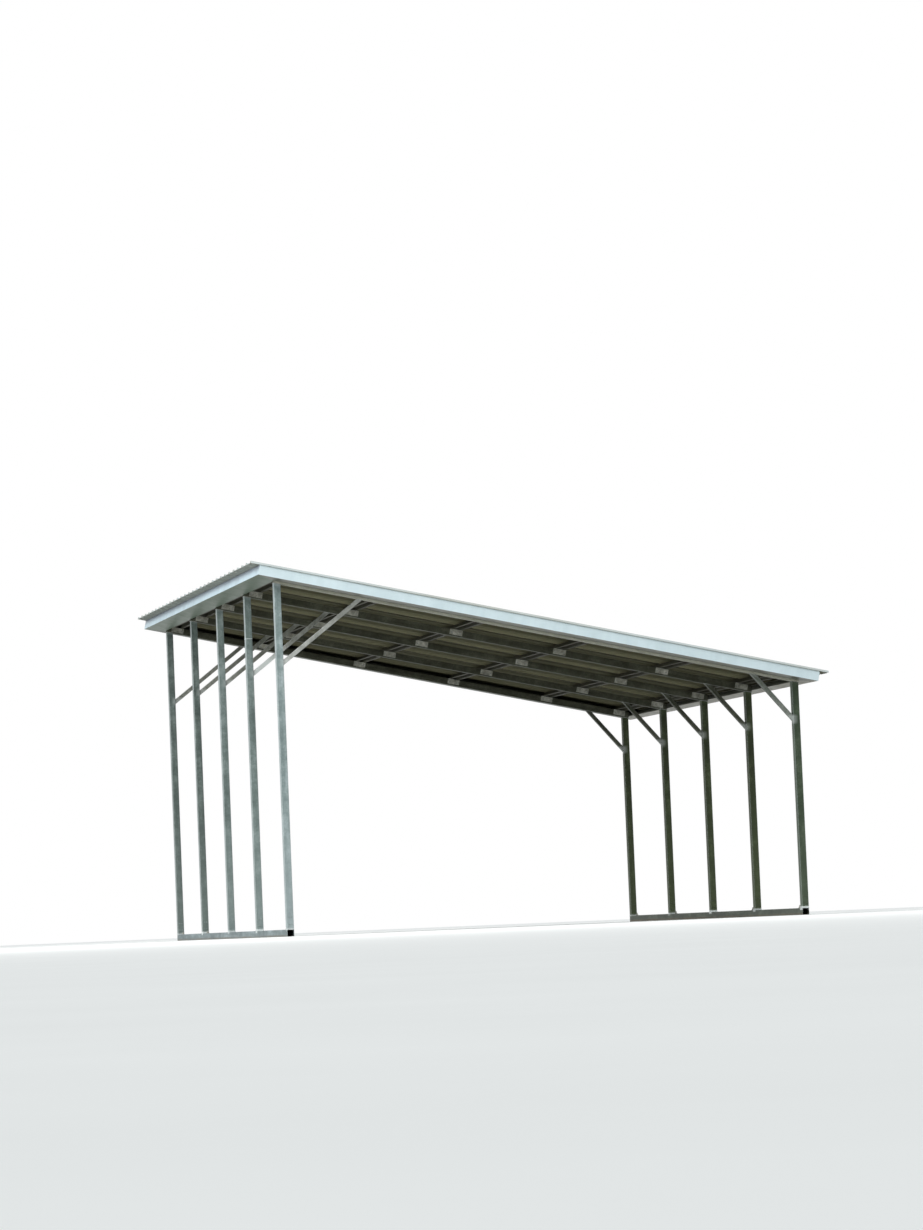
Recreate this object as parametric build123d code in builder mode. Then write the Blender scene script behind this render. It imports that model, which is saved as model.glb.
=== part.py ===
from build123d import *
from math import atan2, ceil, cos, sin
import os

# An open carport with one roof slope, in millimetres.
# X runs from the high side to the low side, cars drive in along +Y, and Z is up.
# The origin is on the ground, below the middle of the roof.

# Frame of square tube
tube = 63.5
tube_wall = 2.0
tube_corner = 4.0
post_span = 4813.5
post_pitch = 1524.0
post_count = 5
high_post_top = 3170.0
low_post_top = 2145.0

# Rails on the ground, and the sleeves that the posts slip over
sleeve_height = 150.0
sleeve_fit = 1.2
anchor_hole = 14.0
anchor_from_post = 150.0

# Knee braces, measured along the post and along the rafter
brace_tube = 38.0
brace_wall = 1.6
brace_corner = 3.0
brace_high_drop = 740.0
brace_high_reach = 771.0
brace_low_drop = 371.0
brace_low_reach = 405.0

# Hat channels across the rafters
purlin_height = 44.5
purlin_crown = 42.0
purlin_web_run = 8.0
purlin_foot = 22.0
purlin_gauge = 1.2
purlin_pitch = 1016.0
purlin_first = -1460.0
middle_purlins = 4
eave_purlin_inset = 75.0
clip_width = 124.0
clip_drop = 52.0
clip_gauge = 3.0
clip_corner = 3.0

# Ribbed sheets, with their ribs down the slope
rib_pitch = 228.6
rib_height = 20.0
rib_base = 44.0
rib_crown = 16.0
ribs_per_sheet = 4
sheet_gauge = 0.8
lap_gap = 0.3
lap_edge = 4.0
edge_flat = 30.0
sheet_past_eave = 85.0
sheet_past_front = 12.0

# Folded trim around the roof
trim_high_overhang = 224.0
trim_low_overhang = 144.0
trim_front_overhang = 286.0
trim_bottom = 18.0
trim_lip = 20.0
trim_hem = 12.0
trim_gauge = 0.8
trim_seat = 0.3

# The roof plane lies on the rafters' undersides
roof_angle = atan2(high_post_top - low_post_top, post_span)
slope_cos = cos(roof_angle)
slope_sin = sin(roof_angle)
half_slope = post_span / 2 / slope_cos
half_length = post_pitch * (post_count - 1) / 2
deck_height = tube + purlin_height
roof_top = deck_height + sheet_gauge + rib_height
rafter_end = half_slope + tube / 2 / slope_cos

high_trim = -half_slope - trim_high_overhang
low_trim = half_slope + trim_low_overhang
front_trim = -half_length - trim_front_overhang
rear_trim = half_length + trim_front_overhang
sheet_high_end = high_trim - sheet_past_eave
sheet_low_end = low_trim + sheet_past_eave
sheet_front_edge = front_trim - sheet_past_front
sheet_rear_edge = rear_trim + sheet_past_front

# The roof's ends lie equally far from X = 0
high_reach = -sheet_high_end * slope_cos - deck_height * slope_sin
low_reach = sheet_low_end * slope_cos + roof_top * slope_sin
middle_x = (high_reach - low_reach) / 2
high_post_x = middle_x - post_span / 2
low_post_x = middle_x + post_span / 2
roof_origin = Vector(middle_x, 0, (high_post_top + low_post_top) / 2)
slope_direction = Vector(slope_cos, 0, -slope_sin)
roof_plane = Plane(origin=roof_origin, x_dir=slope_direction, z_dir=(slope_sin, 0, slope_cos))
post_places = [-half_length + row * post_pitch for row in range(post_count)]
purlin_places = [purlin_first + row * purlin_pitch for row in range(middle_purlins)]
purlin_places.insert(0, -half_slope + eave_purlin_inset)
purlin_places.append(half_slope - eave_purlin_inset)

os.makedirs("parts", exist_ok=True)


def tube_section(size, wall, corner):
    """Draw a hollow square with round corners on the open sketch."""
    RectangleRounded(size, size, corner)
    RectangleRounded(size - 2 * wall, size - 2 * wall, corner - wall / 2, mode=Mode.SUBTRACT)


# Base rails
rail_length = 2 * half_length + tube
anchor_places = [
    -half_length + anchor_from_post,
    half_length - anchor_from_post,
    -half_length + post_pitch + anchor_from_post,
    half_length - post_pitch - anchor_from_post,
]
for side, post_x in (("high", high_post_x), ("low", low_post_x)):
    rail_plane = Plane(origin=(post_x, -rail_length / 2, tube / 2), x_dir=(1, 0, 0), z_dir=(0, 1, 0))
    with BuildPart() as rail:
        with BuildSketch(rail_plane):
            tube_section(tube, tube_wall, tube_corner)
        extrude(amount=rail_length)
        with BuildSketch(Plane.XY):
            with Locations(*[(post_x, place) for place in anchor_places]):
                Circle(anchor_hole / 2)
        extrude(amount=tube, mode=Mode.SUBTRACT)
    rail.part.label = f"base_rail_{side}"
    export_step(rail.part, f"parts/base_rail_{side}.step")

# Sleeves that stand on the rails inside the posts
sleeve_size = tube - 2 * tube_wall - 2 * sleeve_fit
for side, post_x in (("high", high_post_x), ("low", low_post_x)):
    with BuildPart() as sleeves:
        with BuildSketch(Plane.XY.offset(tube)):
            with Locations(*[(post_x, place) for place in post_places]):
                tube_section(sleeve_size, tube_wall, tube_corner - tube_wall / 2)
        extrude(amount=sleeve_height)
    sleeves.part.label = f"post_sleeves_{side}"
    export_step(sleeves.part, f"parts/post_sleeves_{side}.step")

# Posts, their tops cut to the slope of the rafters
for side, post_x in (("high", high_post_x), ("low", low_post_x)):
    for number, place in enumerate(post_places, start=1):
        with BuildPart() as post:
            with BuildSketch(Plane.XY.offset(tube)):
                with Locations((post_x, place)):
                    tube_section(tube, tube_wall, tube_corner)
            extrude(amount=high_post_top)
            split(bisect_by=roof_plane, keep=Keep.BOTTOM)
        post.part.label = f"post_{side}_{number}"
        export_step(post.part, f"parts/post_{side}_{number}.step")

# Rafters, cut square and flush with the posts' outer faces
for number, place in enumerate(post_places, start=1):
    rafter_origin = roof_plane.from_local_coords((-rafter_end, place, tube / 2))
    with BuildPart() as rafter:
        with BuildSketch(Plane(origin=rafter_origin, x_dir=(0, 1, 0), z_dir=slope_direction)):
            tube_section(tube, tube_wall, tube_corner)
        extrude(amount=2 * rafter_end)
    rafter.part.label = f"rafter_{number}"
    export_step(rafter.part, f"parts/rafter_{number}.step")


def build_brace(post_x, post_face, post_top, drop, reach, inward, place):
    """Make one brace tube between a post and its rafter, cut to both of them."""
    lower = Vector(post_x, place, post_top - drop)
    rafter_side = roof_plane.to_local_coords(Vector(post_x, place, post_top)).X + inward * reach
    upper = roof_plane.from_local_coords((rafter_side, place, 0))
    run = upper - lower
    start = lower - run.normalized() * tube
    with BuildPart() as brace:
        with BuildSketch(Plane(origin=start, x_dir=(0, 1, 0), z_dir=run)):
            tube_section(brace_tube, brace_wall, brace_corner)
        extrude(amount=run.length + 3 * tube)
        split(bisect_by=roof_plane, keep=Keep.BOTTOM)
        split(bisect_by=Plane(origin=(post_face, 0, 0), z_dir=(inward, 0, 0)), keep=Keep.TOP)
    return brace


# Knee braces, long on the high side and short on the low side
for number, place in enumerate(post_places, start=1):
    high_face = high_post_x + tube / 2
    low_face = low_post_x - tube / 2
    high = build_brace(high_post_x, high_face, high_post_top, brace_high_drop, brace_high_reach, 1, place)
    high.part.label = f"brace_high_{number}"
    export_step(high.part, f"parts/brace_high_{number}.step")
    low = build_brace(low_post_x, low_face, low_post_top, brace_low_drop, brace_low_reach, -1, place)
    low.part.label = f"brace_low_{number}"
    export_step(low.part, f"parts/brace_low_{number}.step")

# Hat channel purlins, feet down on the rafters
purlin_length = rear_trim - front_trim - 2 * trim_lip - 2 * trim_seat
half_crown = purlin_crown / 2
half_base = half_crown + purlin_web_run
for number, place in enumerate(purlin_places, start=1):
    purlin_origin = roof_plane.from_local_coords((place, -purlin_length / 2, tube))
    with BuildPart() as purlin:
        with BuildSketch(Plane(origin=purlin_origin, x_dir=slope_direction, z_dir=(0, 1, 0))):
            with BuildLine():
                Polyline(
                    (-half_base - purlin_foot, 0),
                    (-half_base, 0),
                    (-half_crown, -purlin_height + purlin_gauge),
                    (half_crown, -purlin_height + purlin_gauge),
                    (half_base, 0),
                    (half_base + purlin_foot, 0),
                )
                offset(amount=purlin_gauge, side=Side.RIGHT)
            make_face()
        extrude(amount=purlin_length)
    purlin.part.label = f"purlin_{number}"
    export_step(purlin.part, f"parts/purlin_{number}.step")

# Clips under the purlins, on the rafters' front faces; the first rafter's front carries trim
for number, place in enumerate(post_places, start=1):
    facing = 1 if number == 1 else -1
    clip_origin = roof_plane.from_local_coords((0, place + facing * tube / 2, tube))
    with BuildPart() as clips:
        with BuildSketch(Plane(origin=clip_origin, x_dir=slope_direction, z_dir=(0, facing, 0))):
            with Locations(*[(along, facing * clip_drop / 2) for along in purlin_places]):
                RectangleRounded(clip_width, clip_drop, clip_corner)
        extrude(amount=clip_gauge)
    clips.part.label = f"purlin_clips_{number}"
    export_step(clips.part, f"parts/purlin_clips_{number}.step")

# Ribbed roof sheets, each lapped over the last rib of the one in front of it
leg_run = (rib_base - rib_crown) / 2
leg_slant = (leg_run**2 + rib_height**2) ** 0.5
rib_total = int((sheet_rear_edge - sheet_front_edge - 2 * edge_flat) // rib_pitch)
sheet_count = ceil(rib_total / ribs_per_sheet)


def rib_points(centre, inset, near_height, far_height):
    """List the underside corners of one rib, drawn smaller by the inset."""
    shrink = inset * leg_slant / rib_height
    top = rib_height - inset
    half_top = rib_base / 2 - shrink - leg_run * top / rib_height
    near = rib_base / 2 - shrink - leg_run * near_height / rib_height
    far = rib_base / 2 - shrink - leg_run * far_height / rib_height
    return [
        (centre - near, near_height),
        (centre - half_top, top),
        (centre + half_top, top),
        (centre + far, far_height),
    ]


for number in range(1, sheet_count + 1):
    first_rib = rib_total * (number - 1) // sheet_count
    last_rib = rib_total * number // sheet_count
    outline = []
    for rib in range(first_rib, last_rib + 1):
        centre = sheet_front_edge + edge_flat + rib * rib_pitch
        if rib == first_rib and rib > 0:
            outline += rib_points(centre, 0, lap_edge, 0)
        elif rib == last_rib and rib < rib_total:
            outline += rib_points(centre, sheet_gauge + lap_gap, 0, lap_edge)
        else:
            outline += rib_points(centre, 0, 0, 0)
    if first_rib == 0:
        outline.insert(0, (sheet_front_edge, 0))
    if last_rib == rib_total:
        outline.append((sheet_rear_edge, 0))
    sheet_origin = roof_plane.from_local_coords((sheet_high_end, 0, deck_height))
    with BuildPart() as sheet:
        with BuildSketch(Plane(origin=sheet_origin, x_dir=(0, 1, 0), z_dir=slope_direction)):
            with BuildLine():
                Polyline(*outline)
                offset(amount=sheet_gauge, side=Side.LEFT)
            make_face()
        extrude(amount=sheet_low_end - sheet_high_end)
    sheet.part.label = f"roof_sheet_{number}"
    export_step(sheet.part, f"parts/roof_sheet_{number}.step")

# Folded trim: a lip below the sheets, a face, a return and a hem against the frame
outer_corners = {
    "front_high": (high_trim, front_trim),
    "rear_high": (high_trim, rear_trim),
    "rear_low": (low_trim, rear_trim),
    "front_low": (low_trim, front_trim),
}
frame_side = rafter_end + trim_seat
frame_front = half_length + tube / 2 + trim_seat
inner_corners = {
    "front_high": (-frame_side, -frame_front),
    "rear_high": (-frame_side, frame_front),
    "rear_low": (frame_side, frame_front),
    "front_low": (frame_side, -frame_front),
}


def roof_point(place):
    """Turn a place on the roof plane into a point of the whole part."""
    return roof_plane.from_local_coords((place[0], place[1], 0))


def mitre_plane(corner, middle):
    """Make the cutting plane at a corner, facing the middle of one trim."""
    outer = roof_point(outer_corners[corner])
    diagonal = roof_point(inner_corners[corner]) - outer
    facing = roof_plane.z_dir.cross(diagonal).normalized()
    if facing.dot(middle - outer) < 0:
        facing = facing * -1
    return Plane(origin=outer + facing * trim_seat / 2, z_dir=facing)


for name, start, end, width in (
    ("high_eave_fascia", "front_high", "rear_high", -frame_side - high_trim),
    ("rear_fascia", "rear_high", "rear_low", rear_trim - frame_front),
    ("low_eave_fascia", "rear_low", "front_low", low_trim - frame_side),
    ("front_fascia", "front_low", "front_high", -frame_front - front_trim),
):
    run = roof_point(outer_corners[end]) - roof_point(outer_corners[start])
    middle = roof_point(outer_corners[start]) + run / 2
    inward = run.cross(roof_plane.z_dir).normalized()
    with BuildPart() as trim:
        with BuildSketch(Plane(origin=roof_point(outer_corners[start]), x_dir=inward, z_dir=run)):
            with BuildLine():
                Polyline(
                    (trim_lip, -deck_height),
                    (0, -deck_height),
                    (0, -trim_bottom),
                    (width, -trim_bottom),
                    (width, -trim_bottom - trim_hem),
                )
                offset(amount=trim_gauge, side=Side.RIGHT)
            make_face()
        extrude(amount=run.length)
        split(bisect_by=mitre_plane(start, middle), keep=Keep.TOP)
        split(bisect_by=mitre_plane(end, middle), keep=Keep.TOP)
    trim.part.label = name
    export_step(trim.part, f"parts/{name}.step")
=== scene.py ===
import bmesh
import bpy
from math import atan2, cos, pi, radians, sin
from mathutils import Matrix, Vector


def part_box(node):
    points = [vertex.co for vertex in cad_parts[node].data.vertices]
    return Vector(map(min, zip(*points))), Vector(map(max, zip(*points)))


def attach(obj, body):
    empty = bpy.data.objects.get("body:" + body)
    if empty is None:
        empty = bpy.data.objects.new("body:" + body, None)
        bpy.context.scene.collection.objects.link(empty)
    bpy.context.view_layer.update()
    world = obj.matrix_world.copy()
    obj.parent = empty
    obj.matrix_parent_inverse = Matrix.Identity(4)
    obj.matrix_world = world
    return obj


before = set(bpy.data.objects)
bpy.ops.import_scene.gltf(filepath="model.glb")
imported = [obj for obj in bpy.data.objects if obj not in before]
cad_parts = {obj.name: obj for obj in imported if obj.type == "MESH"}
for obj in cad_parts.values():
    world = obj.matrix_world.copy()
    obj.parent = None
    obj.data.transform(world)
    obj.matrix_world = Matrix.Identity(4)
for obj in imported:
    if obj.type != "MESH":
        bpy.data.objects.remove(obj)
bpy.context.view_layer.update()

# Base rails: two square tubes of galvanised steel, laid on the ground along the
# carport's sides. They are sawn off square, left open at the ends, and carry the posts.
tube = 0.0635
post_pitch = 1.524
post_row = 2.40675
rows_middle = 0.014463
high_post_top, low_post_top = 3.170, 2.145
roof_angle = atan2(high_post_top - low_post_top, 2 * post_row)
roof_middle = Vector((rows_middle, 0.0, (high_post_top + low_post_top) / 2))
rail_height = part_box("base_rail_high")[1].z


def swatch(red, green, blue):
    """Turn a colour as it looks on a chart into the light values that a shader takes."""
    parts = []
    for shade in (red, green, blue):
        shade = shade / 255
        parts.append(shade / 12.92 if shade < 0.04045 else ((shade + 0.055) / 1.055) ** 2.4)
    return (*parts, 1.0)


def plug(tree, socket, value):
    """Feed a socket from another node, or set its own value."""
    if isinstance(value, bpy.types.NodeSocket):
        tree.links.new(value, socket)
    else:
        socket.default_value = value


def shade_node(tree, kind, **inputs):
    """Add one node to a finish; i0 is its first input, i1 the next, and others go by name."""
    made = tree.nodes.new(kind)
    for name, value in inputs.items():
        numbered_input = name[0] == "i" and name[1:].isdigit()
        plug(tree, made.inputs[int(name[1:]) if numbered_input else name], value)
    return made


def arithmetic(tree, operation, first, second=0.0):
    """Join two values with one sum of a finish, and give back the result."""
    made = shade_node(tree, "ShaderNodeMath", i0=first, i1=second)
    made.operation = operation
    return made.outputs[0]


def shares(tree, *parts):
    """Add up values, each of them taken by its own share."""
    total = None
    for value, share in parts:
        taken = arithmetic(tree, "MULTIPLY", value, share)
        total = taken if total is None else arithmetic(tree, "ADD", total, taken)
    return total


def distance_from(tree, value, mark):
    """Tell how far a value lies from a mark, on either side of it."""
    return arithmetic(tree, "ABSOLUTE", arithmetic(tree, "SUBTRACT", value, mark))


def between(tree, value, low, high, out_low=0.0, out_high=1.0):
    """Stretch a value from one range to another, without overshoot."""
    made = shade_node(tree, "ShaderNodeMapRange", i0=value, i1=low, i2=high, i3=out_low, i4=out_high)
    return made.outputs[0]


def turned_to(tree, side, direction):
    """Tell how far a side faces a direction: 1 straight at it, -1 straight away."""
    made = shade_node(tree, "ShaderNodeVectorMath", i0=side, i1=direction)
    made.operation = "DOT_PRODUCT"
    return made.outputs["Value"]


def colour_steps(tree, value, *steps):
    """Turn a value from 0 to 1 into a colour by its steps."""
    made = shade_node(tree, "ShaderNodeValToRGB", i0=value)
    stops = made.color_ramp.elements
    while len(stops) < len(steps):
        stops.new(0.5)
    for stop, (place, colour) in zip(stops, steps):
        stop.position, stop.color = place, colour
    return made.outputs[0]


def over(tree, amount, under, upper):
    """Lay one colour over another by an amount from 0 to 1."""
    made = shade_node(tree, "ShaderNodeMix")
    made.data_type = "RGBA"
    for number, value in ((0, amount), (6, under), (7, upper)):
        plug(tree, made.inputs[number], value)
    return made.outputs[2]


def stretched(tree, place, x, y, z):
    """Draw a pattern's place out along one direction."""
    return shade_node(tree, "ShaderNodeMapping", Vector=place, Scale=(x, y, z)).outputs[0]


def mottle(tree, place, scale, detail=4.0, roughness=0.55):
    """Give a soft cloudy value at one scale."""
    made = shade_node(
        tree, "ShaderNodeTexNoise", Vector=place, Scale=scale, Detail=detail, Roughness=roughness
    )
    return made.outputs[0]


def on_the_roof(tree, place):
    """Turn a place on the object into a place down the slope, along the eave and off the rafters."""
    made = shade_node(
        tree, "ShaderNodeMapping", Vector=place, Location=roof_middle, Rotation=(0.0, roof_angle, 0.0)
    )
    made.vector_type = "TEXTURE"
    return made.outputs[0]


def new_finish(name):
    """Start a finish, and give back its material, its nodes and its shader."""
    finish = bpy.data.materials.new(name)
    finish.use_nodes = True
    tree = finish.node_tree
    return finish, tree, tree.nodes["Principled BSDF"]


def lay_on(tree, shader, colour, rough, relief, strength, depth):
    """Give a shader its colour, its roughness and its fine relief."""
    bump = shade_node(tree, "ShaderNodeBump", Strength=strength, Distance=depth, Height=relief)
    tree.links.new(colour, shader.inputs["Base Color"])
    tree.links.new(rough, shader.inputs["Roughness"])
    tree.links.new(bump.outputs[0], shader.inputs["Normal"])


soil_brown = swatch(112, 96, 74)
# Pale zinc for painted highlight and wear on rounded edges, and for painted light on the open side.
lit_and_worn_zinc = swatch(186, 194, 196)
zinc_paint = swatch(226, 232, 230)
worn_and_highlit_width = 0.006
paint_inner, paint_outer = 0.036, 0.050
spangle_scale, patch_scale, fine_scale = 70.0, 6.0, 160.0


def zinc_finish(
    name, deep, middle, pale, grain, roof=False, soil=0.0, spray=0.0, brushed=0.0, painted_light_height=0.0,
    dulled=False, painted_side_light=0.0, edge_wear_and_highlight=0.55, joined=0.0, reach=0.046, coated=0.35,
):
    """Make weathered hot-dip zinc: spangle, cloudy patches, drawn-out streaks and dirt.

    Soil is a height above the ground, and bleached the height up to which the zinc is painted
    paler, as painted light from the ground. Brushed is how far the paint of a foot weld spreads,
    spray how far the coat of a top weld hangs down, joined the height of a brace's weld, and reach
    and coated the spread and the strength of its coat. Roof lays the pattern along the slope,
    dulled takes the shine away, washed is the painted light on faces turned to the open side, and
    rubbed paints the rounded edges paler, as wear and as painted highlight.
    """
    deep, middle, pale = swatch(*deep), swatch(*middle), swatch(*pale)
    finish, tree, shader = new_finish(name)
    ground = shade_node(tree, "ShaderNodeTexCoord").outputs["Object"]
    slope = on_the_roof(tree, ground)
    place = slope if roof else ground
    cells = shade_node(tree, "ShaderNodeTexVoronoi", Vector=place, Scale=spangle_scale)
    spangle = shade_node(tree, "ShaderNodeSeparateColor", i0=cells.outputs["Color"]).outputs[0]
    patches = mottle(tree, place, patch_scale, 6.0, 0.62)
    streaks = mottle(tree, stretched(tree, place, *grain), 1.0, 5.0, 0.6)
    fine = mottle(tree, place, fine_scale, 3.0)
    weather = shares(tree, (patches, 0.5), (streaks, 0.42), (spangle, 0.08))
    colour = colour_steps(tree, weather, (0.36, deep), (0.5, middle), (0.64, pale))
    standing = shade_node(tree, "ShaderNodeSeparateXYZ", i0=ground)
    sideways, along, height = standing.outputs[0], standing.outputs[1], standing.outputs[2]
    # Painted light: the zinc is painted paler towards the ground, as light thrown up from it.
    if painted_light_height:
        colour = over(tree, between(tree, height, 0.0, painted_light_height, 0.55, 0.0), colour, pale)
    # Painted light: faces turned to the open side are painted brighter.
    if painted_side_light:
        normal = shade_node(tree, "ShaderNodeTexCoord").outputs["Normal"]
        side_light_share = between(tree, turned_to(tree, normal, (-1.0, 0.0, 0.0)), 0.5, 0.9, 0.0, painted_side_light)
        side_light_share = arithmetic(tree, "MULTIPLY", side_light_share, between(tree, weather, 0.38, 0.62, 0.45, 1.0))
        colour = over(tree, side_light_share, colour, lit_and_worn_zinc)
    if soil:
        low = between(tree, height, 0.0, soil, 0.95, 0.0)
        splash = arithmetic(tree, "MULTIPLY", low, between(tree, patches, 0.35, 0.6, 0.25, 1.0))
        colour = over(tree, splash, colour, soil_brown)
    if spray:
        off_rafter = shade_node(tree, "ShaderNodeSeparateXYZ", i0=slope).outputs[2]
        ragged = arithmetic(tree, "ADD", off_rafter, between(tree, fine, 0.3, 0.7, -0.012, 0.012))
        coat = between(tree, ragged, -spray, -spray * 0.4, 0.0, 0.7)
        colour = over(tree, coat, colour, pale)
    if joined:
        from_weld = distance_from(tree, height, joined)
        ragged = arithmetic(tree, "ADD", from_weld, between(tree, patches, 0.35, 0.65, -0.014, 0.014))
        from_middle = distance_from(tree, sideways, roof_middle.x)
        inner_half = between(tree, from_middle, post_row - tube / 2, post_row + tube / 4, 1.0, 0.0)
        coat = between(tree, ragged, reach * 0.4, reach, coated, 0.0)
        coat = arithmetic(tree, "MULTIPLY", coat, inner_half)
        colour = over(tree, coat, colour, zinc_paint)
    if brushed:
        from_joint = distance_from(tree, height, rail_height)
        ragged = arithmetic(tree, "ADD", from_joint, between(tree, fine, 0.3, 0.7, -0.006, 0.006))
        coat = between(tree, ragged, brushed * 0.6, brushed, 0.9, 0.0)
        from_post = arithmetic(tree, "PINGPONG", along, post_pitch / 2)
        near_post = between(tree, from_post, paint_inner, paint_outer, 1.0, 0.0)
        coat = arithmetic(tree, "MULTIPLY", coat, near_post)
        by_foot = between(tree, mottle(tree, ground, 0.8, 1.0), 0.42, 0.56, 0.15, 1.0)
        coat = arithmetic(tree, "MULTIPLY", coat, by_foot)
        colour = over(tree, coat, colour, zinc_paint)
    # Rounded edges are painted paler, as wear and as painted highlight.
    rounded = shade_node(tree, "ShaderNodeBevel", Radius=worn_and_highlit_width)
    rounded.samples = 4
    true_side = shade_node(tree, "ShaderNodeNewGeometry").outputs["Normal"]
    worn_and_highlit_edge = between(tree, turned_to(tree, rounded.outputs[0], true_side), 0.99, 0.90, 0.0, edge_wear_and_highlight)
    colour = over(tree, worn_and_highlit_edge, colour, lit_and_worn_zinc)
    rough = between(tree, shares(tree, (weather, 1.0), (spangle, 0.2)), 0.3, 0.9, 0.42, 0.66)
    relief = shares(tree, (patches, 0.6), (fine, 0.4))
    lay_on(tree, shader, colour, rough, relief, 0.35, 0.0012)
    shader.inputs["Metallic"].default_value = 0.1 if dulled else 0.55
    shader.inputs["Specular IOR Level"].default_value = 0.1 if dulled else 0.4
    return finish


def coat_nodes(finish, *names):
    """Give whole steel pieces their finish."""
    for name in names:
        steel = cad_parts[name].data
        steel.materials.clear()
        steel.materials.append(finish)


rail_grain = (24.0, 1.6, 24.0)
high_rail_zinc = zinc_finish(
    "high_rail_zinc", (92, 106, 108), (124, 138, 140), (164, 178, 182), rail_grain,
    soil=0.025, brushed=0.020,
)
# The low rail is a darker copy of the same zinc, as painted shade.
low_rail_shaded_zinc = zinc_finish(
    "low_rail_shaded_zinc", (52, 60, 50), (72, 80, 68), (106, 114, 102), rail_grain,
    soil=0.025, brushed=0.020,
)
coat_nodes(high_rail_zinc, "base_rail_high")
coat_nodes(low_rail_shaded_zinc, "base_rail_low")

# Ground anchors: zinc-plated studs set in the ground inside the rails' holes, each
# with a round washer and a six-sided nut pulled down on the rail.
anchor_rows = (-2.898, -1.374, 1.374, 2.898)
washer_top = 0.0026
nut_top = 0.0128
thread_pitch = 0.0015
thread_count = 9


def ring_of_points(mesh, seat, shape, size, height, sides):
    """Add one ring of points above a seat: round by its radius, or six-sided by its width."""
    points = []
    for step in range(sides):
        angle = 2 * pi * step / sides
        reach = size
        if shape == "six-sided":
            reach = size / 2 / cos((angle + pi / 6) % (pi / 3) - pi / 6)
        points.append(mesh.verts.new(seat @ Vector((reach * cos(angle), reach * sin(angle), height))))
    return points


def stack_rings(mesh, seat, stack, sides=12):
    """Make one closed solid from a stack of rings, each with its shape, its size and its height."""
    rings = [ring_of_points(mesh, seat, *ring, sides) for ring in stack]
    mesh.faces.new(rings[0][::-1])
    for lower, upper in zip(rings, rings[1:]):
        for step in range(sides):
            following = (step + 1) % sides
            mesh.faces.new((lower[step], lower[following], upper[following], upper[step]))
    mesh.faces.new(rings[-1])


def seat_at(place, outward, turned=0.0):
    """Give the frame of a fastener that stands on a place and points outward."""
    facing = Vector(outward).normalized().to_track_quat("Z", "Y").to_matrix().to_4x4()
    return Matrix.Translation(place) @ facing @ Matrix.Rotation(turned, 4, "Z")


def finish_piece(name, mesh, finish, sharp=35.0):
    """Turn a worked mesh into a piece of the carport, smooth except at its hard edges."""
    data = bpy.data.meshes.new(name)
    bmesh.ops.recalc_face_normals(mesh, faces=mesh.faces)
    mesh.to_mesh(data)
    mesh.free()
    data.shade_smooth()
    data.set_sharp_from_angle(angle=radians(sharp))
    data.materials.append(finish)
    piece = bpy.data.objects.new(name, data)
    bpy.context.scene.collection.objects.link(piece)
    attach(piece, "root")


washer_rings = [
    ("round", 0.0148, 0.0),
    ("round", 0.0156, 0.0006),
    ("round", 0.0156, 0.0021),
    ("round", 0.0150, washer_top),
    ("round", 0.0072, washer_top),
]
nut_rings = [
    ("six-sided", 0.0176, washer_top),
    ("six-sided", 0.0188, 0.0033),
    ("six-sided", 0.0188, 0.0118),
    ("round", 0.0092, nut_top),
    ("round", 0.0064, nut_top),
]
stud_rings = [("round", 0.0056, 0.0005 - rail_height)]
for thread in range(thread_count):
    stud_rings.append(("round", 0.0054, 0.0130 + thread * thread_pitch))
    stud_rings.append(("round", 0.0060, 0.01375 + thread * thread_pitch))
stud_rings.append(("round", 0.0046, 0.0268))

anchor_zinc = zinc_finish(
    "anchor_zinc", (110, 106, 92), (146, 142, 128), (182, 180, 168), (60.0, 60.0, 60.0), soil=0.06
)
anchors = bmesh.new()
for side in ("high", "low"):
    rail_low, rail_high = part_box(f"base_rail_{side}")
    rail_x = (rail_low.x + rail_high.x) / 2
    for turned, row in enumerate(anchor_rows):
        seat = seat_at((rail_x, row, rail_height), (0, 0, 1), 0.4 * turned)
        stack_rings(anchors, seat, washer_rings, sides=24)
        stack_rings(anchors, seat, nut_rings, sides=24)
        stack_rings(anchors, seat, stud_rings, sides=16)
finish_piece("ground_anchors", anchors, anchor_zinc)

# Sleeves: short lengths of the next smaller tube, welded upright on the rails, which
# the posts slip over. Only their zinc shows, through the thin gap at a post's foot.
sleeve_zinc = zinc_finish(
    "sleeve_zinc", (96, 98, 92), (120, 122, 116), (150, 152, 148), (24.0, 24.0, 2.0), soil=0.25
)
coat_nodes(sleeve_zinc, "post_sleeves_high", "post_sleeves_low")

# Posts: ten galvanised square tubes that stand over the sleeves. The zinc has dulled in
# clouds and streaks, and the tops carry a sprayed coat where they were welded.
post_count = 5
post_grain = (18.0, 18.0, 1.1)
brace_weld_lift = 0.026
high_weld, low_weld = (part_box(f"brace_{side}_1")[0].z + brace_weld_lift for side in ("high", "low"))


def numbered(name, first, last):
    """Give the names of a run of numbered pieces."""
    return [f"{name}_{number}" for number in range(first, last + 1)]


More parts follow.
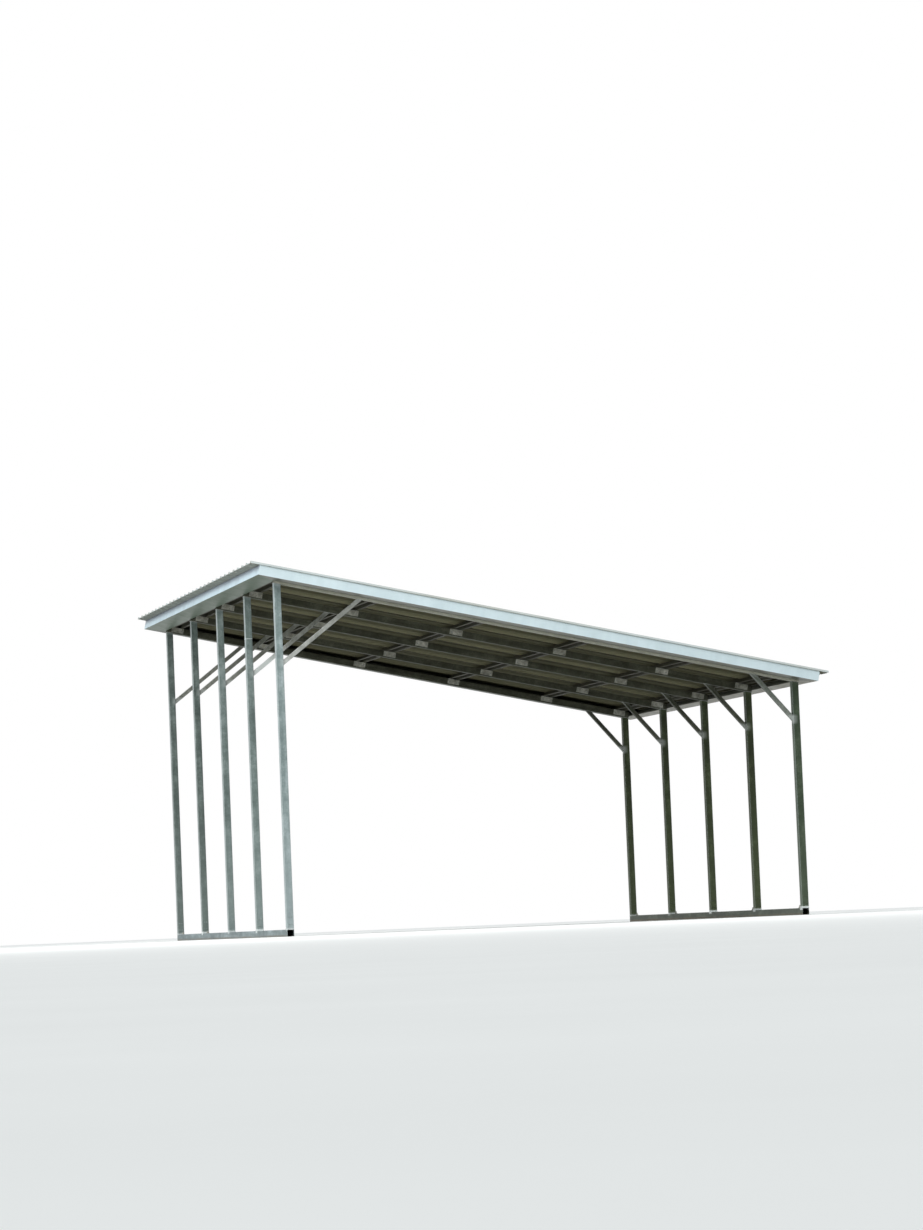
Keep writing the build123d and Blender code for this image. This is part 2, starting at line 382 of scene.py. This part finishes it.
# The posts share one zinc, in copies toned as painted light and shade: the high front one paler, the
# other high ones darker further back, and the low side darkest.
high_front_post_lit_zinc = zinc_finish(
    "high_front_post_lit_zinc", (110, 124, 124), (138, 153, 152), (176, 188, 190), post_grain,
    soil=0.04, spray=0.03, brushed=0.020, painted_light_height=1.4, painted_side_light=0.6, joined=high_weld,
)
high_post_shaded_zinc = zinc_finish(
    "high_post_shaded_zinc", (90, 104, 101), (118, 132, 129), (152, 165, 163), post_grain,
    soil=0.04, spray=0.03, brushed=0.020, painted_light_height=1.4, painted_side_light=0.6, joined=high_weld,
)
high_far_post_shaded_zinc = zinc_finish(
    "high_far_post_shaded_zinc", (76, 88, 84), (100, 112, 108), (134, 146, 142), post_grain,
    soil=0.04, spray=0.03, brushed=0.020, painted_light_height=1.4, painted_side_light=0.5, joined=high_weld,
)
low_front_post_shaded_zinc = zinc_finish(
    "low_front_post_shaded_zinc", (48, 60, 46), (64, 77, 60), (92, 104, 86), post_grain,
    soil=0.06, spray=0.03, brushed=0.020, painted_light_height=1.0, painted_side_light=0.1, joined=low_weld,
)
low_post_shaded_zinc = zinc_finish(
    "low_post_shaded_zinc", (38, 45, 27), (52, 60, 39), (86, 97, 70), post_grain,
    soil=0.06, spray=0.03, brushed=0.020, painted_light_height=1.6, joined=low_weld,
)
coat_nodes(high_front_post_lit_zinc, "post_high_1")
coat_nodes(high_post_shaded_zinc, *numbered("post_high", 2, 3))
coat_nodes(high_far_post_shaded_zinc, *numbered("post_high", 4, post_count))
coat_nodes(low_front_post_shaded_zinc, "post_low_1")
coat_nodes(low_post_shaded_zinc, *numbered("post_low", 2, post_count))

# Foot screws: pairs of self-drilling screws, one pair above the other, through a post's
# front and back faces into the sleeve behind. They take the tone of the posts, with the low
# side's a darker copy as painted shade.
head_width = 0.008
flange_radius = 0.0068
foot_screw_lifts = (0.045, 0.110)
foot_screw_spread = 0.012
screw_grain = (80.0, 80.0, 80.0)
screw_rings = [
    ("round", flange_radius * 0.96, 0.0),
    ("round", flange_radius, 0.0005),
    ("round", flange_radius * 0.94, 0.0011),
    ("round", head_width * 0.58, 0.0013),
    ("six-sided", head_width, 0.0016),
    ("six-sided", head_width, 0.0046),
    ("round", head_width * 0.45, 0.0052),
    ("round", head_width * 0.25, 0.0046),
]


def drive_screw(mesh, place, outward, turned):
    """Drive one self-drilling screw: a six-sided head on its own round flange."""
    stack_rings(mesh, seat_at(place, outward, turned), screw_rings)


def posts_of(side):
    """Give the number and the box of each post on one side."""
    return [(number, *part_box(f"post_{side}_{number}")) for number in range(1, post_count + 1)]


high_screw_zinc = zinc_finish(
    "high_screw_zinc", (118, 130, 127), (142, 154, 151), (168, 178, 176), screw_grain, edge_wear_and_highlight=0.1
)
# The low side's screws are a darker copy, as painted shade.
low_screw_shaded_zinc = zinc_finish(
    "low_screw_shaded_zinc", (56, 64, 48), (70, 79, 60), (88, 97, 76), screw_grain, edge_wear_and_highlight=0.05
)
for side, screw_finish in (("high", high_screw_zinc), ("low", low_screw_shaded_zinc)):
    foot_screws = bmesh.new()
    for number, post_low, post_high in posts_of(side):
        post_x, post_y = (post_low.x + post_high.x) / 2, (post_low.y + post_high.y) / 2
        for facing in (-1, 1):
            for lift in foot_screw_lifts:
                for sideways in (-foot_screw_spread, foot_screw_spread):
                    place = Vector((post_x + sideways, post_y + facing * tube / 2, post_low.z + lift))
                    drive_screw(foot_screws, place, (0, facing, 0), number + lift * 30 + sideways * 50)
    finish_piece(f"{side}_foot_screws", foot_screws, screw_finish)

# Foot welds: a short bead round each post where it stands on its rail, with the
# bright zinc paint brushed over it.
bead_step = 0.0028
bead_sides = 8
smooth_bead = 80.0
foot_bead = 0.0042
weld_inset = 0.0008
weld_lift = 0.001
foot_zinc = zinc_finish(
    "foot_zinc", (186, 192, 192), (214, 220, 220), (236, 240, 240), (90.0, 90.0, 90.0)
)


def lay_bead(mesh, corners, radius, seed):
    """Lay one rippled weld bead round a closed run of corners."""
    steps = []
    for first, second in zip(corners, corners[1:] + corners[:1]):
        count = max(2, round((second - first).length / bead_step))
        for step in range(count):
            steps.append(first.lerp(second, step / count))
    rings = []
    middle = sum(corners, Vector()) / len(corners)
    off = (corners[1] - corners[0]).cross(corners[2] - corners[1]).normalized()
    for step, point in enumerate(steps):
        ahead = steps[(step + 1) % len(steps)] - steps[step - 1]
        out = ahead.cross(off).normalized()
        if out.dot(point - middle) < 0:
            out = -out
        size = radius * (1 + 0.16 * sin(step * 2.1 + seed) + 0.10 * sin(step * 0.37 + 2 * seed))
        ring = []
        for side in range(bead_sides):
            angle = 2 * pi * side / bead_sides
            ring.append(mesh.verts.new(point + out * size * cos(angle) + off * size * sin(angle)))
        rings.append(ring)
    for ring, following in zip(rings, rings[1:] + rings[:1]):
        for side in range(bead_sides):
            beside = (side + 1) % bead_sides
            mesh.faces.new((ring[side], ring[beside], following[beside], following[side]))


def corners_round(low, high, inset, height):
    """Give the four outer corners of an upright tube at one height, drawn in a little."""
    return [
        Vector((low.x + inset, low.y + inset, height)),
        Vector((high.x - inset, low.y + inset, height)),
        Vector((high.x - inset, high.y - inset, height)),
        Vector((low.x + inset, high.y - inset, height)),
    ]


foot_welds = bmesh.new()
for side in ("high", "low"):
    for number, post_low, post_high in posts_of(side):
        corners = corners_round(post_low, post_high, weld_inset, post_low.z + weld_lift)
        lay_bead(foot_welds, corners, foot_bead, number * 1.3)
finish_piece("post_foot_welds", foot_welds, foot_zinc, sharp=smooth_bead)

# Post joint: the second post of the high side is made from two lengths of tube, butted
# and welded all round near its top.
joint_height = 2.780
joint_bead = 0.0034
joint_inset = 0.0009
post_joint = bmesh.new()
post_low, post_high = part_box("post_high_2")
lay_bead(post_joint, corners_round(post_low, post_high, joint_inset, joint_height), joint_bead, 2.0)
finish_piece("post_joint_weld", post_joint, foot_zinc, sharp=smooth_bead)

# Rafters: one square tube across each pair of posts, cut to the roof's width and welded
# down on the posts' sloping tops. The front one is painted near white as painted light, and
# the others darkened as painted shade.
rafter_grain = (1.3, 22.0, 22.0)
rafter_shaded_zinc = zinc_finish(
    "rafter_shaded_zinc", (80, 82, 70), (101, 103, 90), (128, 130, 116), rafter_grain,
    roof=True, dulled=True, edge_wear_and_highlight=0.05,
)
front_rafter_lit_zinc = zinc_finish(
    "front_rafter_lit_zinc", (206, 207, 192), (224, 225, 210), (238, 239, 226), rafter_grain,
    roof=True, dulled=True, edge_wear_and_highlight=0.05,
)
coat_nodes(front_rafter_lit_zinc, "rafter_1")
coat_nodes(rafter_shaded_zinc, *numbered("rafter", 2, post_count))

# Post top welds: a bead all round the joint of each post and its rafter, sprayed over
# with zinc paint after welding.
top_bead = 0.0032
weld_zinc = zinc_finish(
    "weld_zinc", (124, 124, 116), (160, 162, 158), (206, 208, 206), (90.0, 90.0, 90.0), roof=True
)
roof_frame = Matrix.Translation(roof_middle) @ Matrix.Rotation(roof_angle, 4, "Y")


def roof_place(down, along, off):
    """Give a place by its distance down the slope, along the eave and off the rafters."""
    return roof_frame @ Vector((down, along, off))


top_welds = bmesh.new()
for side in ("high", "low"):
    for number, post_low, post_high in posts_of(side):
        post_y = (post_low.y + post_high.y) / 2
        front, back = post_y - tube / 2 + weld_inset, post_y + tube / 2 - weld_inset
        upper_side = (post_low.x - roof_middle.x) / cos(roof_angle)
        lower_side = (post_high.x - roof_middle.x) / cos(roof_angle)
        corners = [
            roof_place(upper_side, front, 0.0),
            roof_place(lower_side, front, 0.0),
            roof_place(lower_side, back, 0.0),
            roof_place(upper_side, back, 0.0),
        ]
        lay_bead(top_welds, corners, top_bead, number + (0.5 if side == "low" else 0.0))
finish_piece("post_top_welds", top_welds, weld_zinc, sharp=smooth_bead)

# Knee braces: smaller square tubes between each post and its rafter, long on the high
# side and short on the low side, sawn to fit both and welded. The second one on the
# high side has more zinc sprayed over its lower end than the others.
brace_size = 0.038
brace_bead = 0.0026
brace_grain = (20.0, 20.0, 6.0)
roof_up = Vector((sin(roof_angle), 0, cos(roof_angle)))
roof_down = Vector((cos(roof_angle), 0, -sin(roof_angle)))
# The braces share one zinc, in copies toned as painted light and shade: the high front one palest, the
# others darker, and the low side darkest.
high_front_brace_lit_zinc = zinc_finish(
    "high_front_brace_lit_zinc", (132, 134, 128), (162, 164, 158), (190, 192, 188), brace_grain,
    spray=0.03, joined=high_weld,
)
high_second_brace_shaded_zinc = zinc_finish(
    "high_second_brace_shaded_zinc", (112, 114, 107), (140, 142, 135), (168, 170, 164), brace_grain,
    spray=0.03, joined=high_weld, reach=0.27, coated=0.75,
)
high_far_brace_shaded_zinc = zinc_finish(
    "high_far_brace_shaded_zinc", (104, 106, 98), (130, 132, 124), (158, 160, 152), brace_grain,
    spray=0.03, joined=high_weld,
)
low_front_brace_shaded_zinc = zinc_finish(
    "low_front_brace_shaded_zinc", (82, 88, 80), (110, 116, 108), (146, 150, 144), brace_grain,
    spray=0.03, joined=low_weld,
)
low_brace_shaded_zinc = zinc_finish(
    "low_brace_shaded_zinc", (54, 57, 46), (74, 77, 64), (104, 106, 94), brace_grain,
    spray=0.03, joined=low_weld,
)
coat_nodes(high_front_brace_lit_zinc, "brace_high_1")
coat_nodes(high_second_brace_shaded_zinc, "brace_high_2")
coat_nodes(high_far_brace_shaded_zinc, *numbered("brace_high", 3, post_count))
coat_nodes(low_front_brace_shaded_zinc, "brace_low_1")
coat_nodes(low_brace_shaded_zinc, *numbered("brace_low", 2, post_count))


def corners_about(middle, sideways, lengthways):
    """Give the four corners of a brace's end by its middle and its two half-widths."""
    return [
        middle - sideways - lengthways,
        middle + sideways - lengthways,
        middle + sideways + lengthways,
        middle - sideways + lengthways,
    ]


brace_welds = bmesh.new()
for side, inward, drop, reach in (("high", 1, 0.740, 0.771), ("low", -1, 0.371, 0.405)):
    for number, post_low, post_high in posts_of(side):
        post_x, post_y = (post_low.x + post_high.x) / 2, (post_low.y + post_high.y) / 2
        post_down = (post_x - roof_middle.x) / cos(roof_angle)
        lower = roof_place(post_down, post_y, 0.0) - Vector((0, 0, drop))
        upper = roof_place(post_down + inward * reach, post_y, 0.0)
        run = (upper - lower).normalized()
        at_post = lower + run * (inward * tube / 2) / run.x
        sideways = Vector((0, brace_size / 2 - weld_inset, 0))
        upwards = Vector((0, 0, brace_size / 2 / abs(run.x)))
        lay_bead(brace_welds, corners_about(at_post, sideways, upwards), brace_bead, number)
        downwards = roof_down * (brace_size / 2 / abs(run.dot(roof_up)))
        lay_bead(brace_welds, corners_about(upper, sideways, downwards), brace_bead, number + 0.5)
finish_piece("brace_welds", brace_welds, weld_zinc, sharp=smooth_bead)

# Purlins: hat channels folded from galvanised strip, laid across the rafters with their
# feet down and screwed through both feet.
purlin_downs = (-2.3857, -1.460, -0.444, 0.572, 1.588, 2.3857)
purlin_foot = 0.040
purlin_strip = 0.0012
purlin_grain = (24.0, 1.4, 24.0)
rafter_rows = [(number - 3) * post_pitch for number in range(1, post_count + 1)]
# Painted shade: the purlins' zinc is darkened to olive brown.
purlin_shaded_zinc = zinc_finish(
    "purlin_shaded_zinc", (58, 57, 46), (74, 73, 60), (96, 95, 80), purlin_grain,
    roof=True, dulled=True, edge_wear_and_highlight=0.0,
)
coat_nodes(purlin_shaded_zinc, *numbered("purlin", 1, len(purlin_downs)))

screw_zinc = zinc_finish(
    "screw_zinc", (120, 116, 104), (158, 156, 148), (204, 204, 198), screw_grain
)
purlin_screws = bmesh.new()
for down in purlin_downs:
    for row in rafter_rows:
        for foot in (-purlin_foot, purlin_foot):
            place = roof_place(down + foot, row, tube + purlin_strip)
            drive_screw(purlin_screws, place, roof_up, down * 7 + row)
finish_piece("purlin_screws", purlin_screws, screw_zinc)

# Clips: flat plates cut from bright zinc-coated strip, set against the rafters' sides
# below each purlin. Each is held by two self-drilling screws near its ends.
clip_plate = 0.003
clip_spread = 0.042
clip_drop = 0.030
clip_zinc = zinc_finish(
    "clip_zinc", (138, 138, 126), (182, 182, 170), (220, 220, 210), (24.0, 24.0, 24.0), roof=True
)
coat_nodes(clip_zinc, *numbered("purlin_clips", 1, post_count))

clip_screws = bmesh.new()
for number, row in enumerate(rafter_rows, start=1):
    facing = 1 if number == 1 else -1
    for down in purlin_downs:
        for sideways in (-clip_spread, clip_spread):
            place = roof_place(down + sideways, row + facing * (tube / 2 + clip_plate), tube - clip_drop)
            drive_screw(clip_screws, place, (0, facing, 0), down * 5 + number)
finish_piece("clip_screws", clip_screws, screw_zinc)

# Roof sheets: ribbed steel sheets, painted pale on top and thinly coated olive grey
# below, each lapped over the last rib of the one in front of it. Their cut edges are bare.
sheet_count = 8
rib_count = 29
rib_pitch = 0.2286
rib_height = 0.020
roof_front = -3.346
edge_strip = 0.030
first_rib = roof_front + edge_strip
deck_height = 0.108
trim_start, trim_end = 2.600, 2.680
silt_inner, silt_outer = 0.020, 0.045
lit_start, lit_full = 0.74, 0.97
fade_start, fade_end = 1.2, 2.6


def sheet_finish(name, top_deep, top_pale, under_deep, under_pale):
    """Make the two-sided coat of a roof sheet, with streaks down the slope.

    Below, painted light pales each bay towards the rafter behind it, less in the rear bays,
    and pales the underside out beyond the trim.
    """
    finish, tree, shader = new_finish(name)
    coordinates = shade_node(tree, "ShaderNodeTexCoord")
    place = on_the_roof(tree, coordinates.outputs["Object"])
    upward = turned_to(tree, coordinates.outputs["Normal"], roof_up)
    endways = turned_to(tree, coordinates.outputs["Normal"], roof_down)
    clouds = mottle(tree, place, 3.0, 5.0)
    streaks = mottle(tree, stretched(tree, place, 0.7, 26.0, 4.0), 1.0, 6.0, 0.6)
    specks = mottle(tree, place, 420.0, 2.0)
    weather = shares(tree, (clouds, 0.45), (streaks, 0.55))
    spot = shade_node(tree, "ShaderNodeSeparateXYZ", i0=place)
    down, along = spot.outputs[0], spot.outputs[1]
    from_rib = arithmetic(tree, "PINGPONG", arithmetic(tree, "SUBTRACT", along, first_rib), rib_pitch / 2)
    rib_foot = between(tree, from_rib, silt_inner, silt_outer, 1.0, 0.0)
    silt = arithmetic(tree, "MULTIPLY", rib_foot, between(tree, streaks, 0.42, 0.65, 0.0, 0.5))
    top = colour_steps(tree, weather, (0.35, swatch(*top_deep)), (0.62, swatch(*top_pale)))
    top = over(tree, silt, top, swatch(150, 146, 130))
    # Painted light: the underside pales over the last quarter of each bay, less towards the rear.
    bay = arithmetic(tree, "FRACT", arithmetic(tree, "DIVIDE", along, post_pitch))
    bay_light_fade = between(tree, along, fade_start, fade_end, 0.92, 0.45)
    painted_bay_light = arithmetic(tree, "MULTIPLY", between(tree, bay, lit_start, lit_full), bay_light_fade)
    # Painted light: the underside is paler out beyond the trim, on the eaves' overhang.
    painted_overhang_light = between(tree, arithmetic(tree, "ABSOLUTE", down), trim_start, trim_end, 0.0, 0.9)
    below = colour_steps(tree, weather, (0.35, swatch(*under_deep)), (0.65, swatch(*under_pale)))
    below = over(tree, painted_bay_light, below, swatch(226, 222, 186))
    below = over(tree, painted_overhang_light, below, swatch(212, 214, 206))
    colour = over(tree, between(tree, upward, -0.1, 0.1), below, top)
    cut_edge = between(tree, arithmetic(tree, "ABSOLUTE", endways), 0.6, 0.8)
    colour = over(tree, cut_edge, colour, swatch(222, 228, 228))
    top_rough = between(tree, weather, 0.35, 0.7, 0.38, 0.56)
    rough = arithmetic(tree, "ADD", top_rough, between(tree, upward, 0.1, -0.1, 0.0, 0.35))
    waves = mottle(tree, stretched(tree, place, 1.6, 7.0, 1.0), 1.0, 2.0)
    relief = shares(tree, (waves, 3.0), (specks, 0.10))
    lay_on(tree, shader, colour, rough, relief, 0.5, 0.002)
    gloss = between(tree, upward, -0.1, 0.1, 0.06, 0.45)
    tree.links.new(gloss, shader.inputs["Specular IOR Level"])
    return finish


sheet_coat = sheet_finish(
    "sheet_coat", (178, 187, 188), (206, 214, 213), (104, 103, 81), (136, 133, 107)
)
coat_nodes(sheet_coat, *numbered("roof_sheet", 1, sheet_count))

# Roof screws: zinc heads on rubber washers, driven beside each rib into every purlin,
# and near the eaves into the trim's lip.
high_lip, low_lip = -2.6747, 2.5947
beside_rib = 0.036
sheet_steel = 0.0008
rubber_top = 0.0022
rubber_rings = [
    ("round", 0.0066, 0.0),
    ("round", 0.0076, 0.0006),
    ("round", 0.0076, 0.0016),
    ("round", 0.0066, rubber_top),
]


def drive_roof_screw(mesh, place, turned):
    """Drive one screw square to the roof, on its rubber washer."""
    stack_rings(mesh, seat_at(place, roof_up), rubber_rings)
    drive_screw(mesh, place + roof_up * rubber_top, roof_up, turned)


roof_screws = bmesh.new()
for down in (high_lip, *purlin_downs, low_lip):
    for rib in range(rib_count):
        place = roof_place(down, first_rib + rib * rib_pitch + beside_rib, deck_height + sheet_steel)
        drive_roof_screw(roof_screws, place, rib * 0.7 + down)
finish_piece("roof_screws", roof_screws, screw_zinc)

# Lap screws: shorter screws through the crown of each lapped rib, which draw one sheet
# down on the next, half a metre apart down the slope.
lap_start = -2.620
lap_step = 0.515
lap_count = 11
lap_screws = bmesh.new()
for sheet in range(1, sheet_count):
    lapped_rib = rib_count * sheet // sheet_count
    along = first_rib + lapped_rib * rib_pitch
    for step in range(lap_count):
        place = roof_place(lap_start + step * lap_step, along, deck_height + rib_height + sheet_steel)
        drive_roof_screw(lap_screws, place, sheet + step * 0.9)
finish_piece("lap_screws", lap_screws, screw_zinc)

# Trim: four lengths of folded steel round the roof, painted a cool white, each with a
# lip under the sheets, a face, a return back to the frame and a hem, mitred at the corners.
shade_start, shade_end = 0.050, 0.104


def trim_finish(name, outward, deep, pale, underside_shade, shaded=0.0):
    """Make the trim's paint: chalky clouds, rain runs, painted shade on the faces turned down and, if
    shaded, along the top, and a plain back.
    """
    finish, tree, shader = new_finish(name)
    coordinates = shade_node(tree, "ShaderNodeTexCoord")
    place = on_the_roof(tree, coordinates.outputs["Object"])
    # Painted shade: faces turned down take the darker underside colour.
    under = between(tree, turned_to(tree, coordinates.outputs["Normal"], roof_up), -0.5, -0.8)
    behind = between(tree, turned_to(tree, coordinates.outputs["Normal"], outward), 0.0, -0.4)
    clouds = mottle(tree, place, 5.0, 5.0)
    runs = mottle(tree, stretched(tree, place, 14.0, 14.0, 1.5), 1.0, 5.0)
    weather = shares(tree, (clouds, 0.6), (runs, 0.4))
    colour = colour_steps(tree, weather, (0.33, swatch(*deep)), (0.62, swatch(*pale)))
    if shaded:
        off = shade_node(tree, "ShaderNodeSeparateXYZ", i0=place).outputs[2]
        shade = between(tree, off, shade_start, shade_end, 0.0, shaded)
        colour = over(tree, shade, colour, swatch(132, 138, 154))
    colour = over(tree, under, colour, swatch(*underside_shade))
    colour = over(tree, behind, colour, swatch(92, 94, 82))
    rough = between(tree, weather, 0.3, 0.7, 0.32, 0.5)
    relief = mottle(tree, stretched(tree, place, 3.0, 3.0, 6.0), 1.0, 3.0)
    lay_on(tree, shader, colour, rough, relief, 0.4, 0.003)
    return finish


# One white paint in copies toned per side as painted light and shade: the front paler, the high eave
# darker and bluer.
front_lit_paint = trim_finish("front_lit_paint", (0, -1, 0), (211, 229, 234), (225, 242, 247), (134, 134, 122))
high_shaded_paint = trim_finish(
    "high_shaded_paint", -roof_down, (170, 192, 202), (195, 216, 226), (97, 117, 93), shaded=0.85
)
rear_paint = trim_finish("rear_paint", (0, 1, 0), (198, 210, 218), (218, 230, 235), (88, 91, 78))
low_paint = trim_finish("low_paint", roof_down, (198, 210, 218), (218, 230, 235), (196, 190, 172))
coat_nodes(front_lit_paint, "front_fascia")
coat_nodes(high_shaded_paint, "high_eave_fascia")
coat_nodes(rear_paint, "rear_fascia")
coat_nodes(low_paint, "low_eave_fascia")

# The floor that the carport stands on, pale and plain to the eye, and a calmer grey
# to the light that it throws back up.
floor_reach = 90.0
floor_data = bpy.data.meshes.new("floor")
floor_mesh = bmesh.new()
bmesh.ops.create_grid(floor_mesh, x_segments=8, y_segments=8, size=floor_reach)
floor_mesh.to_mesh(floor_data)
floor_mesh.free()
floor = bpy.data.objects.new("floor", floor_data)
bpy.context.scene.collection.objects.link(floor)
floor_paint, tree, shader = new_finish("floor_paint")
place = shade_node(tree, "ShaderNodeTexCoord").outputs["Object"]
path = shade_node(tree, "ShaderNodeLightPath")
looked_at = arithmetic(tree, "MAXIMUM", path.outputs["Is Camera Ray"], path.outputs["Is Glossy Ray"])
clouds = mottle(tree, place, 2.0, 5.0)
colour = colour_steps(tree, clouds, (0.3, swatch(240, 240, 238)), (0.7, swatch(243, 243, 241)))
colour = over(tree, looked_at, swatch(98, 98, 92), colour)
tree.links.new(colour, shader.inputs["Base Color"])
shader.inputs["Roughness"].default_value = 0.9
floor_data.materials.append(floor_paint)

# Soft studio light: a white surround, brightest overhead and to the front left, and one
# wide lamp from the same side.
world = bpy.data.worlds.new("studio")
bpy.context.scene.world = world
world.use_nodes = True
tree = world.node_tree
tree.nodes.clear()
path = shade_node(tree, "ShaderNodeLightPath")
seen = arithmetic(tree, "MAXIMUM", path.outputs["Is Camera Ray"], path.outputs["Is Glossy Ray"])
seen = arithmetic(tree, "MAXIMUM", seen, path.outputs["Is Transmission Ray"])
direction = shade_node(tree, "ShaderNodeTexCoord").outputs["Generated"]
lit_side = turned_to(tree, direction, (-0.60, -0.50, 0.62))
brightness = between(tree, lit_side, -0.7, 0.9, 0.25, 1.2)
backdrop = shade_node(tree, "ShaderNodeBackground", Color=(1, 1, 1, 1), Strength=1.0)
ambient = shade_node(tree, "ShaderNodeBackground", Color=(0.94, 0.98, 1.0, 1), Strength=brightness)
chosen = shade_node(tree, "ShaderNodeMixShader", i0=seen, i1=ambient.outputs[0], i2=backdrop.outputs[0])
shade_node(tree, "ShaderNodeOutputWorld", Surface=chosen.outputs[0])

lamp_data = bpy.data.lights.new("front_lamp", "AREA")
lamp_data.energy = 3400.0
lamp_data.shape = "SQUARE"
lamp_data.size = 12.0
lamp = bpy.data.objects.new("front_lamp", lamp_data)
lamp.location = (-18.0, -12.0, 12.0)
lamp_aim = Vector((0, 0, 1.6))
lamp.rotation_mode = "QUATERNION"
lamp.rotation_quaternion = (lamp_aim - lamp.location).to_track_quat("-Z", "Y")
bpy.context.scene.collection.objects.link(lamp)

# The camera stands well away from the front left corner, hardly above the floor, and
# looks a little upward through a long lens.
camera_data = bpy.data.cameras.new("camera")
camera_data.sensor_width = 36.0
camera_data.lens = 131.56
camera_data.clip_end = 500.0
camera = bpy.data.objects.new("camera", camera_data)
camera_place = (-9.8181, -42.7274, 0.0386)
turn, lift, lean = 0.225956, 0.068798, -0.042124
ahead = Vector((sin(turn) * cos(lift), cos(turn) * cos(lift), sin(lift)))
level = Vector((cos(turn), -sin(turn), 0.0))
plumb = level.cross(ahead)
right = level * cos(lean) + plumb * sin(lean)
up = plumb * cos(lean) - level * sin(lean)
facing = Matrix((right, up, -ahead)).transposed().to_4x4()
camera.matrix_world = Matrix.Translation(camera_place) @ facing
bpy.context.scene.collection.objects.link(camera)
bpy.context.scene.camera = camera
bpy.context.scene.view_settings.view_transform = "Standard"
